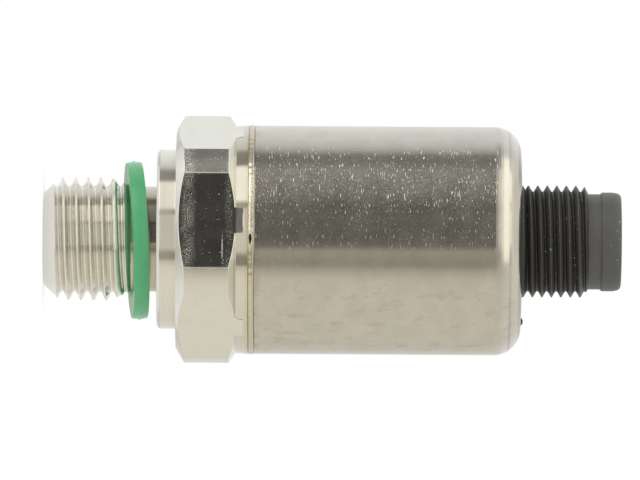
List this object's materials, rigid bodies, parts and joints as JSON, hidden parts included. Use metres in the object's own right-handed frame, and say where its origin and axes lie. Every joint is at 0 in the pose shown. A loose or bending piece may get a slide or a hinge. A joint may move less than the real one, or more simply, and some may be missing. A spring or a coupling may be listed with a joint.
{
  "type": "pressure transmitter",
  "caption": "Screw-in pressure transmitter: threaded stainless fitting with hexagon and loose rubber seal, welded steel can, and a black moulded round plug.",
  "frame": {"origin": "centre of the fitting's sealing face, where the collar seats on the port", "axes": "+Z along the axis from the process thread to the plug, -Y out of one hexagon flat, +X through the plug's key and the vent"},
  "size_m": [0.026, 0.0242, 0.0608],
  "materials": {
    "fitting_steel": "satin",
    "can_steel": "satin",
    "cell_steel": "satin",
    "seal_rubber": "satin",
    "vent_rubber": "matte",
    "ring_rubber": "matte",
    "plug_plastic": "satin",
    "carrier_plastic": "matte",
    "contact_gold": "polished",
    "tinned_brass": "satin",
    "spring_bronze": "satin",
    "board_laminate": "satin",
    "chip_epoxy": "matte",
    "chip_silicon": "polished",
    "capacitor_ceramic": "satin",
    "strip_film": "satin"
  },
  "bodies": {
    "root": {"process_fitting": "fitting_steel", "profile_seal": "seal_rubber", "housing_can": "can_steel", "vent_plug": "vent_rubber", "sensor_cell": "cell_steel", "strain_chip": "chip_silicon", "flex_strip": "strip_film", "board_support": "carrier_plastic", "amplifier_board": "board_laminate", "amplifier_chip": "chip_epoxy", "regulator_chip": "chip_epoxy", "ceramic_capacitors": "capacitor_ceramic", "link_pins": "tinned_brass", "spacer_sleeve": "carrier_plastic", "terminal_board": "board_laminate", "surge_diodes": "chip_epoxy", "earth_spring": "spring_bronze", "connector_body": "plug_plastic", "connector_seal": "ring_rubber", "contact_pin_1": "contact_gold", "contact_pin_2": "contact_gold", "contact_pin_3": "contact_gold", "contact_pin_4": "contact_gold"}
  },
  "joints": []
}
